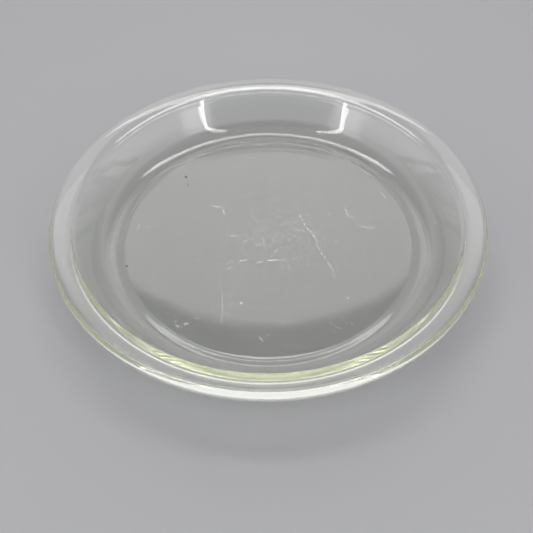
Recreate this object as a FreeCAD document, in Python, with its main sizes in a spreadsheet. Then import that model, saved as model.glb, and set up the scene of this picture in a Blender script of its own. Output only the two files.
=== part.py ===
import FreeCAD, Part
import math
import os
import Sketcher

# A round pie dish pressed from clear glass in one piece: a flat floor, a wall that leans outwards and a rim
# that rises a little to a thick lip. Millimetres, +Z up, with the origin under the middle of the foot.

doc = FreeCAD.newDocument("pie_dish")

# Driving sizes

SIZES = [
    ("rim_diameter", "241", "widest size, outside the lip"),
    ("dish_height", "32", "from the foot to the top of the lip"),
    ("rim_width", "12.9", "from the lip's outside in to the edge above the wall"),
    ("rim_rise", "2.55", "how much the rim climbs from that edge to the lip"),
    ("lip_radius", "3.2", "rounding between the rim's top and the lip's outside"),
    ("lip_height", "4.6", "from the lip's top down to the crisp edge below its outside"),
    ("rim_under_rise", "3.1", "how much the rim's underside climbs from the wall to that crisp edge"),
    ("rim_edge_radius", "2.5", "rounding where the rim turns down into the wall"),
    ("wall_flare", "12.6", "how far the wall leans out between the floor and the rim"),
    ("wall_thickness", "5.9", "glass in the wall"),
    ("floor_thickness", "4.7", "glass in the floor, over the foot"),
    ("floor_corner_radius", "14", "wide rounding inside, between the floor and the wall"),
    ("base_corner_radius", "12", "rounding outside, between the foot and the wall"),
    ("recess_inset", "6.6", "from the floor's corner in to the hollow under it, which leaves a foot ring"),
    ("recess_depth", "0.6", "how deep that hollow is"),
]

sheet = doc.addObject("Spreadsheet::Sheet", "Sizes")
for row, (name, value, meaning) in enumerate(SIZES, start=1):
    sheet.set(f"A{row}", name)
    sheet.set(f"B{row}", value)
    sheet.set(f"C{row}", meaning)
    sheet.setAlias(f"B{row}", name)
doc.recompute()
size = {name: float(sheet.get(name)) for name, value, meaning in SIZES}

# The same radii as expressions, for the sketches

RIM_RADIUS = "Sizes.rim_diameter / 2"
EDGE_RADIUS = f"{RIM_RADIUS} - Sizes.rim_width"
FLOOR_RADIUS = f"{EDGE_RADIUS} - Sizes.wall_flare"
RECESS_RADIUS = f"{FLOOR_RADIUS} - Sizes.recess_inset"

# A sketch numbers the places on its lines and arcs like this.

START = 1
END = 2
CENTRE = 3
ORIGIN = (-1, 1)
QUARTER_TURN = math.pi / 2


def point(radius, height):
    """A place in the half section: distance from the axis, height above the foot."""
    return FreeCAD.Vector(radius, height, 0)


def half_section(body, name):
    """An empty sketch on the body's own upright plane, with the dish's axis as its vertical axis."""
    upright = [plane for plane in body.Origin.OriginFeatures if plane.Role == "XZ_Plane"][0]
    sketch = body.newObject("Sketcher::SketchObject", name)
    sketch.AttachmentSupport = [(upright, "")]
    sketch.MapMode = "FlatFace"
    return sketch


def draw_lines(sketch, corners):
    """Straight lines from corner to corner, each joined to the one before."""
    lines = []
    for first, last in zip(corners, corners[1:]):
        lines.append(sketch.addGeometry(Part.LineSegment(first, last)))
    for before, after in zip(lines, lines[1:]):
        sketch.addConstraint(Sketcher.Constraint("Coincident", before, END, after, START))
    return lines


def set_across(sketch, name, line, end, expression):
    """Distance of a line's end from the dish's axis."""
    value = sketch.getPoint(line, end).x
    number = sketch.addConstraint(Sketcher.Constraint("DistanceX", *ORIGIN, line, end, value))
    sketch.renameConstraint(number, name)
    sketch.setExpression(f"Constraints.{name}", expression)


def set_up(sketch, name, line, end, expression):
    """Height of a line's end above the foot."""
    value = sketch.getPoint(line, end).y
    number = sketch.addConstraint(Sketcher.Constraint("DistanceY", *ORIGIN, line, end, value))
    sketch.renameConstraint(number, name)
    sketch.setExpression(f"Constraints.{name}", expression)


def draw_glass(body):
    """The section of the glass: floor and wall inside, rim and lip, wall and foot outside."""
    sketch = half_section(body, "glass_section")
    rim = size["rim_diameter"] / 2
    edge = rim - size["rim_width"]
    floor = edge - size["wall_flare"]
    lip = size["lip_radius"]
    top = size["dish_height"]
    edge_height = top - size["rim_rise"]

    inside = draw_lines(sketch, [
        point(0, 0),
        point(0, size["floor_thickness"]),
        point(floor, size["floor_thickness"]),
        point(edge, edge_height),
        point(rim - lip, top),
    ])
    outside = draw_lines(sketch, [
        point(rim, top - lip),
        point(rim, top - size["lip_height"]),
        point(edge + size["wall_thickness"], top - size["lip_height"] - size["rim_under_rise"]),
        point(floor + size["wall_thickness"], 0),
        point(0, 0),
    ])
    axis_line, floor_line, wall_line, rim_line = inside
    face_line, under_line, outer_line, foot_line = outside
    # The lip is round above and crisp below: its top is the dish's highest place and its outside the widest.
    lip_circle = Part.Circle(point(rim - lip, top - lip), FreeCAD.Vector(0, 0, 1), lip)
    lip_arc = sketch.addGeometry(Part.ArcOfCircle(lip_circle, 0, QUARTER_TURN))

    sketch.addConstraint([
        Sketcher.Constraint("Coincident", axis_line, START, *ORIGIN),
        Sketcher.Constraint("Coincident", foot_line, END, *ORIGIN),
        Sketcher.Constraint("Vertical", axis_line),
        Sketcher.Constraint("Horizontal", floor_line),
        Sketcher.Constraint("Horizontal", foot_line),
        Sketcher.Constraint("Tangent", rim_line, END, lip_arc, END),
        Sketcher.Constraint("Tangent", face_line, START, lip_arc, START),
        Sketcher.Constraint("Vertical", face_line),
        Sketcher.Constraint("Parallel", wall_line, outer_line),
    ])
    set_up(sketch, "floor_top", floor_line, END, "Sizes.floor_thickness")
    set_across(sketch, "floor_corner", floor_line, END, FLOOR_RADIUS)
    set_across(sketch, "rim_edge", rim_line, START, EDGE_RADIUS)
    set_across(sketch, "lip_across", lip_arc, CENTRE, f"{RIM_RADIUS} - Sizes.lip_radius")
    set_up(sketch, "lip_up", lip_arc, CENTRE, "Sizes.dish_height - Sizes.lip_radius")
    set_up(sketch, "lip_foot", face_line, END, "Sizes.dish_height - Sizes.lip_height")

    sized = [
        ("lip_round", Sketcher.Constraint("Radius", lip_arc, lip), "Sizes.lip_radius"),
        ("rim_climb", Sketcher.Constraint("DistanceY", rim_line, START, rim_line, END, size["rim_rise"]),
         "Sizes.rim_rise"),
        ("under_climb", Sketcher.Constraint("DistanceY", under_line, END, under_line, START,
                                            size["rim_under_rise"]), "Sizes.rim_under_rise"),
        ("wall_glass", Sketcher.Constraint("Distance", floor_line, END, outer_line, size["wall_thickness"]),
         "Sizes.wall_thickness"),
    ]
    for name, constraint, expression in sized:
        number = sketch.addConstraint(constraint)
        sketch.renameConstraint(number, name)
        sketch.setExpression(f"Constraints.{name}", expression)
    corners = {
        "floor_corner": (floor_line, END),
        "rim_edge": (rim_line, START),
        "base_corner": (outer_line, END),
    }
    return sketch, corners


def draw_recess(body):
    """The section of the hollow under the floor, with a flank that slopes at half a right angle."""
    sketch = half_section(body, "recess_section")
    depth = size["recess_depth"]
    reach = size["rim_diameter"] / 2 - size["rim_width"] - size["wall_flare"] - size["recess_inset"]
    axis_line, roof_line, flank_line, mouth_line = draw_lines(sketch, [
        point(0, 0),
        point(0, depth),
        point(reach - depth, depth),
        point(reach, 0),
        point(0, 0),
    ])
    sketch.addConstraint([
        Sketcher.Constraint("Coincident", axis_line, START, *ORIGIN),
        Sketcher.Constraint("Coincident", mouth_line, END, *ORIGIN),
        Sketcher.Constraint("Vertical", axis_line),
        Sketcher.Constraint("Horizontal", roof_line),
        Sketcher.Constraint("Horizontal", mouth_line),
    ])
    set_up(sketch, "roof_up", roof_line, END, "Sizes.recess_depth")
    set_across(sketch, "roof_across", roof_line, END, f"{RECESS_RADIUS} - Sizes.recess_depth")
    set_across(sketch, "mouth_across", flank_line, END, RECESS_RADIUS)
    return sketch


def turn(body, kind, name, sketch):
    """The sketch taken once round the dish's axis, as glass added or cut away."""
    feature = body.newObject(kind, name)
    feature.Profile = sketch
    feature.ReferenceAxis = (sketch, ["V_Axis"])
    doc.recompute()
    return feature


def ring_edge(shape, radius, height):
    """The name of the round edge nearest to this radius and height."""
    def miss(edge):
        return abs(edge.Curve.Radius - radius) + abs(edge.Curve.Center.z - height)

    rings = [number for number, edge in enumerate(shape.Edges) if isinstance(edge.Curve, Part.Circle)
             and edge.Curve.Axis.cross(FreeCAD.Vector(0, 0, 1)).Length < Part.Precision.angular()]
    nearest = min(rings, key=lambda number: miss(shape.Edges[number]))
    return f"Edge{nearest + 1}"


def round_ring(body, name, base, corner, expression):
    """One ring-shaped corner of the section, rounded all the way round the dish."""
    fillet = body.newObject("PartDesign::Fillet", name)
    fillet.Base = (base, [ring_edge(base.Shape, corner.x, corner.y)])
    fillet.setExpression("Radius", expression)
    doc.recompute()
    return fillet


def make_dish():
    """The whole dish: the section turned round the axis, the hollow cut below, then its three roundings."""
    body = doc.addObject("PartDesign::Body", "glass_dish")
    body.Label = "glass_dish"
    body.Placement = FreeCAD.Placement()

    section, corners = draw_glass(body)
    glass = turn(body, "PartDesign::Revolution", "pressed_glass", section)
    full_volume = glass.Shape.Volume
    recess = turn(body, "PartDesign::Groove", "underside_recess", draw_recess(body))
    if recess.Shape.Volume >= full_volume:
        raise RuntimeError("the hollow under the floor took no glass away")

    roundings = [
        ("floor_corner", "Sizes.floor_corner_radius"),
        ("base_corner", "Sizes.base_corner_radius"),
        ("rim_edge", "Sizes.rim_edge_radius"),
    ]
    last = recess
    for name, expression in roundings:
        place = section.getPoint(*corners[name])
        last = round_ring(body, f"{name}_rounding", last, place, expression)
    return body


dish = make_dish()
doc.recompute()

# Every feature must have come out whole before the solid is written.

for item in doc.Objects:
    if "Invalid" in item.State or "Error" in item.State:
        raise RuntimeError(f"{item.Label} failed: {item.State}")
if dish.Shape.isNull() or not dish.Shape.isValid():
    raise RuntimeError(f"{dish.Label} is not a valid solid")

os.makedirs("parts", exist_ok=True)
dish.Shape.exportStep(f"parts/{dish.Label}.step")

box = dish.Shape.optimalBoundingBox()
print(f"{dish.Label}: {box.XLength:.2f} x {box.YLength:.2f} x {box.ZLength:.2f} mm,",
      f"{dish.Shape.Volume:.0f} mm3, {len(dish.Shape.Solids)} solid")
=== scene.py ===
import math
import random

import bmesh
import bpy
from mathutils import Matrix, Vector


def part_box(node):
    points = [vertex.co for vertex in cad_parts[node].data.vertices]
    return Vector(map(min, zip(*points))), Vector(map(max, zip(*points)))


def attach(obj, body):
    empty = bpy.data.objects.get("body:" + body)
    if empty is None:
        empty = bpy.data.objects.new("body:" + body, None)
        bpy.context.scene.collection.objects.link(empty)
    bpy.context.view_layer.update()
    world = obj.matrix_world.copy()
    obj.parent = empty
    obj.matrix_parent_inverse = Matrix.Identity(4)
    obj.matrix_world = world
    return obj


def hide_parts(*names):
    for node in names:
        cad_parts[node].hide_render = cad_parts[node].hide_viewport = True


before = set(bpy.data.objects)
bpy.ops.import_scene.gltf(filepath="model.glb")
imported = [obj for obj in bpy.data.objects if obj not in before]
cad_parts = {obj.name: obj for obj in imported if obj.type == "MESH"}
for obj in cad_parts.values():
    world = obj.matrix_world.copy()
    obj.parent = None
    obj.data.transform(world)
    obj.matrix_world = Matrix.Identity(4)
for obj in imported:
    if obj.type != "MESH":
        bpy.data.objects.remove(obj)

# A clear pressed-glass pie dish on a pale floor, seen as the photograph shows it. Metres, +Z up.

MM = 0.001
scene = bpy.context.scene
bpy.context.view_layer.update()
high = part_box("glass_dish")[1]


# The camera, fitted to the rim's outline in the photograph, 533 pixels square; lengths in millimetres

IMAGE_PIXELS = 533
FOCAL_PIXELS = 560
SENSOR_MM = 36.0
CLIP_START = 10.0
EYE_DISTANCE = 317.81
EYE_ELEVATION = math.radians(44.486)
EYE_ROLL = math.radians(-0.879)
EYE_AIM = Vector((-0.981, -47.415, 29.9))

eye = Vector((0, -EYE_DISTANCE * math.cos(EYE_ELEVATION),
              EYE_AIM.z + EYE_DISTANCE * math.sin(EYE_ELEVATION)))
look = (EYE_AIM - eye).normalized()
sideways = look.cross(Vector((0, 0, 1))).normalized()
upright_axes = Matrix((sideways, sideways.cross(look), -look)).transposed()
eye_axes = upright_axes @ Matrix.Rotation(EYE_ROLL, 3, "Z")


def seen_at(pixel, height):
    """The place at a height, in millimetres, that the photograph shows at a pixel."""
    across, down = pixel[0] - IMAGE_PIXELS / 2, pixel[1] - IMAGE_PIXELS / 2
    way = eye_axes @ Vector((across, -down, -FOCAL_PIXELS))
    return eye + way * ((height - eye.z) / way.z)


def place_camera():
    data = bpy.data.cameras.new("camera")
    data.sensor_width = SENSOR_MM
    data.lens = SENSOR_MM * FOCAL_PIXELS / IMAGE_PIXELS
    data.clip_start = CLIP_START * MM
    camera = bpy.data.objects.new("camera", data)
    scene.collection.objects.link(camera)
    camera.matrix_world = Matrix.Translation(eye * MM) @ eye_axes.to_4x4()
    scene.camera = camera


# Colours, shader nodes and objects

def linear(colour):
    """An sRGB hex colour as the linear RGBA that shaders take."""
    channels = [int(colour[i:i + 2], 16) / 255 for i in (1, 3, 5)]
    return [c / 12.92 if c <= 0.04045 else ((c + 0.055) / 1.055) ** 2.4 for c in channels] + [1]


def add(tree, kind, inputs=None, **settings):
    """One node with its settings; an input is a value, or the output that it is linked to."""
    node = tree.nodes.new(kind)
    for name, value in settings.items():
        setattr(node, name, value)
    for name, value in (inputs or {}).items():
        if isinstance(value, bpy.types.NodeSocket):
            tree.links.new(value, node.inputs[name])
        else:
            node.inputs[name].default_value = value
    return node


def new_material(name):
    """An empty node material and its tree, with the output in place."""
    material = bpy.data.materials.new(name)
    material.use_nodes = True
    tree = material.node_tree
    tree.nodes.clear()
    return material, tree, add(tree, "ShaderNodeOutputMaterial")


def new_object(bm, name, material):
    """A finished bmesh as an object of the scene, with its material."""
    mesh = bpy.data.meshes.new(name)
    bm.to_mesh(mesh)
    bm.free()
    mesh.materials.append(material)
    made = bpy.data.objects.new(name, mesh)
    scene.collection.objects.link(made)
    return made


# The section of the glass, as (distance from the axis, height) in millimetres and slopes in degrees

RIM_RADIUS = high.x / MM
DISH_HEIGHT = high.z / MM
LIP_RADIUS = 3.2
LIP_HEIGHT = 4.6
LIP_FOOT_RADIUS = 0.4
RIM_EDGE_REACH = 107.8
RIM_EDGE_RADIUS = 2.5
RIM_INNER_SLOPE = 24.2
RIM_OUTER_SLOPE = 4.8
RIM_UNDER_SLOPE = 18.6
UNDER_CORNER_RADIUS = 5.2
WALL_SLOPE = 63.5
WALL_THICKNESS = 5.5
FLOOR_TOP = 4.7
FLOOR_CORNER_RADIUS = 16.0
BASE_CORNER_RADIUS = 17.0
RECESS_REACH = 86.3
RECESS_DEPTH = 0.12
RECESS_SLOPE = 8.0
RECESS_EDGE_RADIUS = 3.0

# How finely it is drawn

END_PIECE = 0.08
INNER_RING_SHARE = 1 / 3
ROUND_STEPS = 16
CROWN_STEPS = 12
LIP_STEPS = 20
LIP_FOOT_STEPS = 6
RECESS_EDGE_STEPS = 6
AROUND_STEPS = 320
MERGE_DISTANCE = 0.002


def along(slope):
    """One millimetre outwards and up at a slope."""
    return Vector((math.cos(math.radians(slope)), math.sin(math.radians(slope))))


def above(slope):
    """One millimetre at right angles to a slope, upwards."""
    return Vector((-math.sin(math.radians(slope)), math.cos(math.radians(slope))))


def meet(first, first_slope, second, second_slope):
    """The place where two sloping lines cross."""
    gap = second - first
    share = gap.dot(above(second_slope)) / along(first_slope).dot(above(second_slope))
    return first + along(first_slope) * share


# The rim is crowned: its slope eases from the edge over the wall to the lip, on one wide arc.
lip_middle = Vector((RIM_RADIUS - LIP_RADIUS, DISH_HEIGHT - LIP_RADIUS))
crown_end = lip_middle + above(RIM_OUTER_SLOPE) * LIP_RADIUS
edge_tangent = RIM_EDGE_RADIUS * math.tan(math.radians(WALL_SLOPE - RIM_INNER_SLOPE) / 2)
crown_start_reach = RIM_EDGE_REACH + edge_tangent * along(RIM_INNER_SLOPE).x
crown_radius = (crown_end.x - crown_start_reach) / (along(RIM_INNER_SLOPE).y - along(RIM_OUTER_SLOPE).y)
crown_middle = crown_end - above(RIM_OUTER_SLOPE) * crown_radius
rim_edge = crown_middle + above(RIM_INNER_SLOPE) * crown_radius - along(RIM_INNER_SLOPE) * edge_tangent
floor_corner = meet(rim_edge, WALL_SLOPE, Vector((0, FLOOR_TOP)), 0)
outer_wall = floor_corner - above(WALL_SLOPE) * WALL_THICKNESS
lip_side = Vector((RIM_RADIUS, lip_middle.y))
lip_foot = Vector((RIM_RADIUS, DISH_HEIGHT - LIP_HEIGHT))
under_corner = meet(lip_foot, RIM_UNDER_SLOPE, outer_wall, WALL_SLOPE)
base_corner = meet(outer_wall, WALL_SLOPE, Vector((0, 0)), 0)
recess_mouth = Vector((RECESS_REACH, 0))
recess_roof = Vector((RECESS_REACH - RECESS_DEPTH / math.tan(math.radians(RECESS_SLOPE)), RECESS_DEPTH))
recess_middle = Vector((0, RECESS_DEPTH))


def run_to(bm, tip, place):
    """The section drawn on from its tip in a straight line."""
    tip = bmesh.ops.extrude_vert_indiv(bm, verts=[tip])["verts"][0]
    tip.co = Vector((place[0], 0, place[1])) * MM
    return tip


def bend(bm, tip, middle, angle, steps):
    """The section drawn on from its tip round a middle; a positive angle turns from +X up to +Z."""
    arc = bmesh.ops.spin(bm, geom=[tip], cent=Vector((middle[0], 0, middle[1])) * MM, axis=(0, -1, 0),
                         angle=angle, steps=steps)
    return [v for v in arc["geom_last"] if isinstance(v, bmesh.types.BMVert)][0]


def round_corner(bm, tip, before, corner, after, radius, steps=ROUND_STEPS):
    """The section drawn on to a corner and round it, tangent to the lines on both sides. The line before it
    gets a narrow end piece at both ends, which keeps the roundings' smooth shading off the flat glass."""
    way_in = (corner - before).normalized()
    way_out = (after - corner).normalized()
    turn = math.atan2(way_in.x * way_out.y - way_in.y * way_out.x, way_in.dot(way_out))
    start = corner - way_in * radius * math.tan(abs(turn) / 2)
    inward = Vector((-way_in.y, way_in.x)) * math.copysign(radius, turn)
    for place in (tip.co.xz / MM + way_in * END_PIECE, start - way_in * END_PIECE, start):
        tip = run_to(bm, tip, place)
    return bend(bm, tip, start + inward, turn, steps)


def draw_section(bm):
    """Floor, wall, rim and lip, then the outside down to the foot and in under the recess."""
    middle = Vector((0, FLOOR_TOP))
    rim_way = rim_edge + along(RIM_INNER_SLOPE)
    tip = bm.verts.new((0, 0, FLOOR_TOP * MM))
    tip = run_to(bm, tip, (floor_corner.x * INNER_RING_SHARE, FLOOR_TOP))
    tip = round_corner(bm, tip, middle, floor_corner, rim_edge, FLOOR_CORNER_RADIUS)
    tip = round_corner(bm, tip, floor_corner, rim_edge, rim_way, RIM_EDGE_RADIUS)
    tip = bend(bm, tip, crown_middle, math.radians(RIM_OUTER_SLOPE - RIM_INNER_SLOPE), CROWN_STEPS)
    tip = bend(bm, tip, lip_middle, -math.radians(90 + RIM_OUTER_SLOPE), LIP_STEPS)
    tip = round_corner(bm, tip, lip_side, lip_foot, under_corner, LIP_FOOT_RADIUS, LIP_FOOT_STEPS)
    tip = round_corner(bm, tip, lip_foot, under_corner, base_corner, UNDER_CORNER_RADIUS)
    tip = round_corner(bm, tip, under_corner, base_corner, recess_mouth, BASE_CORNER_RADIUS)
    for before, corner, after in ((base_corner, recess_mouth, recess_roof),
                                  (recess_mouth, recess_roof, recess_middle)):
        tip = round_corner(bm, tip, before, corner, after, RECESS_EDGE_RADIUS, RECESS_EDGE_STEPS)
    tip = run_to(bm, tip, tip.co.xz / MM - along(0) * END_PIECE)
    tip = run_to(bm, tip, (recess_roof.x * INNER_RING_SHARE, RECESS_DEPTH))
    run_to(bm, tip, recess_middle)


def make_dish():
    """The section taken once round the axis, smooth all over."""
    bm = bmesh.new()
    draw_section(bm)
    bmesh.ops.spin(bm, geom=bm.verts[:] + bm.edges[:], cent=(0, 0, 0), axis=(0, 0, 1),
                   angle=2 * math.pi, steps=AROUND_STEPS, use_merge=True)
    bmesh.ops.remove_doubles(bm, verts=bm.verts, dist=MERGE_DISTANCE * MM)
    bmesh.ops.recalc_face_normals(bm, faces=bm.faces)
    for face in bm.faces:
        face.smooth = True
    dish = new_object(bm, "pressed_dish", pressed_glass())
    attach(dish, "root")
    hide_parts("glass_dish")


# The pressed skin: length and height of its waves, and along which axis they grow, from calm to wavy places

SKIN_WAVE = 18.0
SKIN_HEIGHT = 0.3
SKIN_REACHES = [("Y", -40, 40), ("Z", 6, 14), ("Z", 28, 22)]
CALM_SHARE = 0.08


def pressed_glass():
    """Clear soda-lime glass, pressed in a mould and fire polished: bright sharp reflections that wander
    a little on the pressed skin, most on the far wall, where the photograph shows them bent, and a faint
    yellow-green where the eye looks through its length."""
    material, tree, output = new_material("pressed_soda_lime_glass")
    place = add(tree, "ShaderNodeTexCoord").outputs["Object"]
    wave = add(tree, "ShaderNodeTexNoise", {"Vector": place, "Scale": 1 / (SKIN_WAVE * MM), "Detail": 1.0})
    axes = add(tree, "ShaderNodeSeparateXYZ", {"Vector": place}).outputs
    waviness = 1.0
    for axis, calm, wavy in SKIN_REACHES:
        waviness = add(tree, "ShaderNodeMapRange", {
            "Value": axes[axis], "From Min": calm * MM, "From Max": wavy * MM, "To Min": CALM_SHARE,
            "To Max": waviness}, interpolation_type="SMOOTHSTEP").outputs["Result"]
    skin = add(tree, "ShaderNodeBump", {"Height": wave.outputs["Fac"], "Strength": waviness,
                                        "Distance": SKIN_HEIGHT * MM})
    glass = add(tree, "ShaderNodeBsdfPrincipled", {
        "Base Color": linear("#fdfefb"), "Roughness": 0.01, "IOR": 1.50, "Transmission Weight": 1.0,
        "Normal": skin.outputs["Normal"]})
    tint = add(tree, "ShaderNodeVolumeAbsorption", {"Color": linear("#ebefd4"), "Density": 6.0})
    tree.links.new(glass.outputs["BSDF"], output.inputs["Surface"])
    tree.links.new(tint.outputs["Volume"], output.inputs["Volume"])
    return material


# Wear on the floor, of the kind that knives and other dishes leave: places as pixels of the photograph,
# lengths in millimetres, and the finest hairs scattered by chance. Real scratches are a few hundredths of
# a millimetre wide, too fine to show, so each is drawn as coarse as it needs to show.

KNIFE_CUTS = [
    ((210, 205), (220, 207)), ((223, 208), (225, 215)), ((137, 231), (140, 224)), ((146, 227), (152, 227)),
    ((177, 233), (181, 231)), ((209, 217), (212, 216)), ((345, 208), (348, 216)), ((348, 217), (353, 217)),
    ((360, 226), (370, 228)), ((371, 229), (375, 227)), ((227, 269), (232, 267)), ((240, 261), (247, 260)),
    ((256, 263), (263, 261)), ((267, 261), (280, 260)), ((380, 192), (386, 199)), ((229, 236), (238, 236)),
]
CUT_WIDTH = 0.36

SAW_TRAIL = ((301, 215), (337, 279))
SAW_CUTS = 15
SAW_STRAY = 0.45
SAW_SLANTS = (-0.7, 0.1)
SAW_LENGTH_SHARES = (0.5, 0.9)

SCUFFS = [(346, 326), (184, 324), (262, 243), (290, 239)]
SCUFF_HAIRS = 12
SCUFF_SPREAD = 3.5
SCUFF_HAIR_REACH = 1.2
SCUFF_HAIR_WIDTH = 0.192

CHIPS = [
    (348, 205), (330, 214), (279, 175), (129, 272), (203, 175), (198, 261), (348, 298), (296, 190),
    (241, 303),
]
CHIP_SIZES = (0.75, 1.0)
CHIP_RAGGED_SHARES = (0.6, 1.1)
CHIP_CORNERS = 9

LONG_HAIRLINE = ((218, 276), (221, 324))
LONG_HAIRLINE_WIDTH = 0.128
HAIRS = 150
HAIR_WIDTH = 0.16
HAIR_SPREADS = (14, 34)
HAIR_REACHES = (0.7, 1.6, 2.6)

STROKE_PIECES = 6
STROKE_BOW_SHARE = 0.06
STROKE_TAPER_SHARE = 0.7
STROKE_RAGGED_SHARES = (0.6, 1.0)

CRUMBS = [((186, 177), 1.7), ((188, 185), 1.1), ((127, 266), 1.1)]
CRUMB_LUMP_SHARES = (0.8, 1.1)
CRUMB_RISE_SHARE = 0.5

SPLINTER_SIZE = 0.8
SPLINTER_HEIGHT = 0.05
CHAR_SIZE = 0.4
CRUST_HEIGHT = 0.1

MARK_DEPTH = 0.02
MARK_HEIGHT = FLOOR_TOP + MARK_DEPTH / 2
chance = random.Random(7)


def on_floor(pixels):
    """The places on the dish's floor that the photograph shows at some pixels."""
    return [seen_at(pixel, MARK_HEIGHT) for pixel in pixels]


def scatter(middle, spread):
    """A random place near a middle, denser towards it."""
    return middle + Vector((chance.gauss(0, spread), chance.gauss(0, spread), 0))


def add_stroke(bm, start, end, width):
    """A thin strip on the floor, tapered at both ends and a little bent; places in millimetres."""
    run = end - start
    side = Vector((-run.y, run.x, 0)).normalized()
    bow = chance.uniform(-STROKE_BOW_SHARE, STROKE_BOW_SHARE) * run.length
    for corner in bmesh.ops.create_grid(bm, x_segments=STROKE_PIECES, y_segments=1, size=1)["verts"]:
        from_middle, edge = corner.co.xy
        taper = 1 - STROKE_TAPER_SHARE * abs(from_middle) ** 3
        half_width = taper * chance.uniform(*STROKE_RAGGED_SHARES) * width / 2
        off_line = bow * (1 - from_middle ** 2) + edge * half_width
        corner.co = (start + run * (from_middle + 1) / 2 + side * off_line) * MM


def add_chip(bm, middle, across):
    """A small rough-edged spot on the floor."""
    disc = bmesh.ops.create_circle(bm, cap_ends=True, segments=CHIP_CORNERS, radius=across / 2)
    for corner in disc["verts"]:
        corner.co = (middle + corner.co * chance.uniform(*CHIP_RAGGED_SHARES)) * MM


def add_crumb(bm, middle, across):
    """A lump with a flat foot, sunk a little into the floor."""
    for corner in bmesh.ops.create_icosphere(bm, subdivisions=3, radius=across / 2)["verts"]:
        lump = corner.co * chance.uniform(*CRUMB_LUMP_SHARES)
        lump.z = max(lump.z, 0) * CRUMB_RISE_SHARE - MARK_DEPTH
        corner.co = (middle + lump) * MM


def finish_marks(bm, name, material):
    """The marks as one piece that rides with the dish."""
    bmesh.ops.recalc_face_normals(bm, faces=bm.faces)
    piece = new_object(bm, name, material)
    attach(piece, "root")


def make_scratches():
    """Knife cuts, a trail of dashes as from a saw edge, scuffs, chips and hairs, as slivers half sunk."""
    bm = bmesh.new()
    for cut in KNIFE_CUTS:
        add_stroke(bm, *on_floor(cut), CUT_WIDTH)
    first, last = on_floor(SAW_TRAIL)
    step = (last - first) / SAW_CUTS
    for i in range(SAW_CUTS):
        start = scatter(first + step * i, SAW_STRAY)
        slant = Matrix.Rotation(chance.uniform(*SAW_SLANTS), 3, "Z")
        add_stroke(bm, start, start + slant @ step * chance.uniform(*SAW_LENGTH_SHARES), CUT_WIDTH)
    add_stroke(bm, *on_floor(LONG_HAIRLINE), LONG_HAIRLINE_WIDTH)
    for middle in on_floor(SCUFFS):
        for i in range(SCUFF_HAIRS):
            start = scatter(middle, SCUFF_SPREAD)
            add_stroke(bm, start, scatter(start, SCUFF_HAIR_REACH), SCUFF_HAIR_WIDTH)
    for middle in on_floor(CHIPS):
        add_chip(bm, middle, chance.uniform(*CHIP_SIZES))
    for i in range(HAIRS):
        start = scatter(Vector((0, 0, MARK_HEIGHT)), chance.choice(HAIR_SPREADS))
        end = scatter(start, chance.choice(HAIR_REACHES))
        if max(start.xy.length, end.xy.length) < floor_corner.x - FLOOR_CORNER_RADIUS:
            add_stroke(bm, start, end, HAIR_WIDTH)
    bmesh.ops.solidify(bm, geom=bm.faces[:], thickness=MARK_DEPTH * MM)
    finish_marks(bm, "floor_scratches", scratched_glass())


def make_crumbs():
    bm = bmesh.new()
    for pixel, across in CRUMBS:
        add_crumb(bm, seen_at(pixel, MARK_HEIGHT), across)
    finish_marks(bm, "baked_on_crumbs", baked_crumb())


def scratched_glass():
    """Glass scratched open: the splinters in the groove throw the light about, so it looks white, brighter
    and duller from place to place along its length. A whitish mirror stands in for the splinters."""
    material, tree, output = new_material("scratched_glass")
    place = add(tree, "ShaderNodeTexCoord").outputs["Object"]
    grit = add(tree, "ShaderNodeTexNoise", {"Vector": place, "Scale": 1 / (SPLINTER_SIZE * MM),
                                            "Detail": 3.0})
    tone = add(tree, "ShaderNodeMix", {"Factor": grit.outputs["Fac"], "A": linear("#e2e4de"),
                                       "B": linear("#fdfefa")}, data_type="RGBA")
    rough = add(tree, "ShaderNodeMapRange", {"Value": grit.outputs["Fac"], "To Min": 0.2,
                                             "To Max": 0.42})
    splinter = add(tree, "ShaderNodeBump", {"Height": grit.outputs["Fac"], "Strength": 0.4,
                                            "Distance": SPLINTER_HEIGHT * MM})
    groove = add(tree, "ShaderNodeBsdfPrincipled", {
        "Base Color": tone.outputs["Result"], "Roughness": rough.outputs["Result"], "Metallic": 1.0,
        "Normal": splinter.outputs["Normal"]})
    tree.links.new(groove.outputs["BSDF"], output.inputs["Surface"])
    return material


def baked_crumb():
    """Pastry burnt on to the glass: dry, brown and orange in patches."""
    material, tree, output = new_material("burnt_crumb")
    place = add(tree, "ShaderNodeTexCoord").outputs["Object"]
    char = add(tree, "ShaderNodeTexNoise", {"Vector": place, "Scale": 1 / (CHAR_SIZE * MM), "Detail": 4.0})
    tone = add(tree, "ShaderNodeMix", {"Factor": char.outputs["Fac"], "A": linear("#5a2a12"),
                                       "B": linear("#b8622a")}, data_type="RGBA")
    crust = add(tree, "ShaderNodeBump", {"Height": char.outputs["Fac"], "Strength": 0.5,
                                         "Distance": CRUST_HEIGHT * MM})
    crumb = add(tree, "ShaderNodeBsdfPrincipled", {"Base Color": tone.outputs["Result"], "Roughness": 0.85,
                                                   "Normal": crust.outputs["Normal"]})
    tree.links.new(crumb.outputs["BSDF"], output.inputs["Surface"])
    return material


# The stage: a pale floor and soft light; lengths in metres

FLOOR_HALF_SIZE = 4.0
FLOOR_GAP = 0.0001


def make_floor():
    """A wide sheet of paper, a hair under the foot so that the two faces don't fall together."""
    bm = bmesh.new()
    bmesh.ops.create_grid(bm, x_segments=1, y_segments=1, size=FLOOR_HALF_SIZE,
                          matrix=Matrix.Translation((0, 0, -FLOOR_GAP)))
    new_object(bm, "floor", pale_paper())


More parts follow.
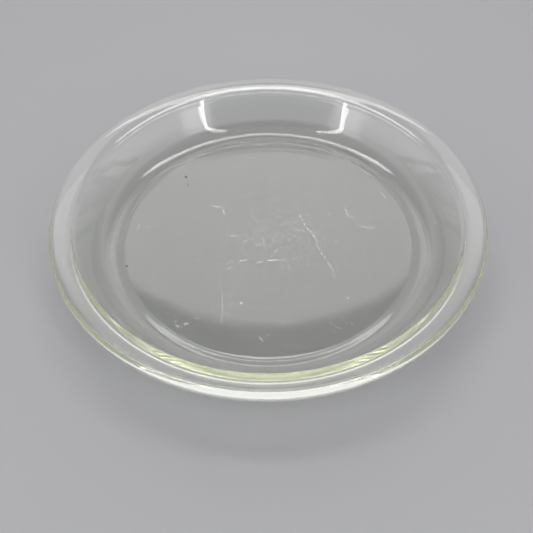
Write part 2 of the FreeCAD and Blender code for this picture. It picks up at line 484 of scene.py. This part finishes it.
def pale_paper():
    """Matt paper: an even pale grey with hardly any gloss."""
    material, tree, output = new_material("pale_paper")
    paper = add(tree, "ShaderNodeBsdfPrincipled", {"Base Color": linear("#b0b0b3"), "Roughness": 0.8,
                                                   "Specular IOR Level": 0.1})
    tree.links.new(paper.outputs["BSDF"], output.inputs["Surface"])
    return material


# Lamps: name, place, the point that each looks at, width and length of its face, and how bright that looks

SOFTBOXES = [
    ("top_panel", (0, 0.298, 0.81), (0, 0.11, 0.03), 0.80, 0.125, 6),
    ("right_strip", (0.368, -0.424, 0.40), (-0.041, 0.092, 0.017), 0.026, 0.85, 12),
    ("left_strip", (-0.433, -0.365, 0.40), (0.050, 0.088, 0.019), 0.026, 0.85, 12),
]


def add_softbox(name, place, aim, width, length, radiance):
    """A flat lamp that looks at a point; its power is worked out from how bright its face looks."""
    light = bpy.data.lights.new(name, "AREA")
    light.shape = "RECTANGLE"
    light.size = width
    light.size_y = length
    light.energy = math.pi * radiance * width * length
    lamp = bpy.data.objects.new(name, light)
    scene.collection.objects.link(lamp)
    way = (Vector(place) - Vector(aim)).normalized()
    lamp.matrix_world = Matrix.Translation(place) @ way.to_track_quat("Z", "Y").to_matrix().to_4x4()
    lamp.visible_camera = False


# The room round the dish, as radiances. The walls end in a soft edge between two heights in degrees. The
# window, the opening and the glow beside each strip lamp are round patches, each with a way and the two half
# angles of its soft edge.

WALLS = 0.95
WALLS_TOP = (26.0, 36.0)
CEILING = 0.47
WINDOW = 1.9
WINDOW_WAY = (0, 0.829, 0.559)
WINDOW_EDGE = (22.4, 24.0)
OPENING = 0.15
OPENING_WAY = (0, -0.92, 0.40)
OPENING_EDGE = (36.0, 39.0)
GLOW = 2.6
GLOW_WAYS = [(0.654, -0.681, 0.333), (-0.737, -0.573, 0.333)]
GLOW_EDGE = (2.0, 13.0)


def light_world():
    """Soft light from the room: a wide window behind the dish and a dark opening on the camera's side."""
    world = bpy.data.worlds.new("studio")
    world.use_nodes = True
    tree = world.node_tree
    tree.nodes.clear()
    output = add(tree, "ShaderNodeOutputWorld")
    way = add(tree, "ShaderNodeTexCoord").outputs["Generated"]

    def blend(value, edge, first, last):
        return add(tree, "ShaderNodeMapRange", {
            "Value": value, "From Min": edge[0], "From Max": edge[1], "To Min": first, "To Max": last},
            interpolation_type="SMOOTHSTEP").outputs["Result"]

    def patch(middle, edge, round_it, inside):
        towards = add(tree, "ShaderNodeVectorMath", {0: way, 1: Vector(middle).normalized()},
                      operation="DOT_PRODUCT").outputs["Value"]
        inner, outer = [math.cos(math.radians(angle)) for angle in edge]
        return blend(towards, (outer, inner), round_it, inside)

    height = add(tree, "ShaderNodeSeparateXYZ", {"Vector": way}).outputs["Z"]
    level = patch(WINDOW_WAY, WINDOW_EDGE, CEILING, WINDOW)
    level = blend(height, [math.sin(math.radians(angle)) for angle in WALLS_TOP], WALLS, level)
    level = patch(OPENING_WAY, OPENING_EDGE, level, OPENING)
    for glow_way in GLOW_WAYS:
        level = patch(glow_way, GLOW_EDGE, level, GLOW)
    sky = add(tree, "ShaderNodeBackground", {"Color": [1, 1, 1, 1], "Strength": level})
    tree.links.new(sky.outputs["Background"], output.inputs["Surface"])
    scene.world = world


make_dish()
make_scratches()
make_crumbs()
make_floor()
light_world()
for softbox in SOFTBOXES:
    add_softbox(*softbox)
place_camera()

# Light runs far along the inside of glass before it comes out again.
LIGHT_BOUNCES = 64
scene.cycles.max_bounces = LIGHT_BOUNCES
scene.cycles.glossy_bounces = LIGHT_BOUNCES
scene.cycles.transmission_bounces = LIGHT_BOUNCES
scene.view_settings.view_transform = "Standard"
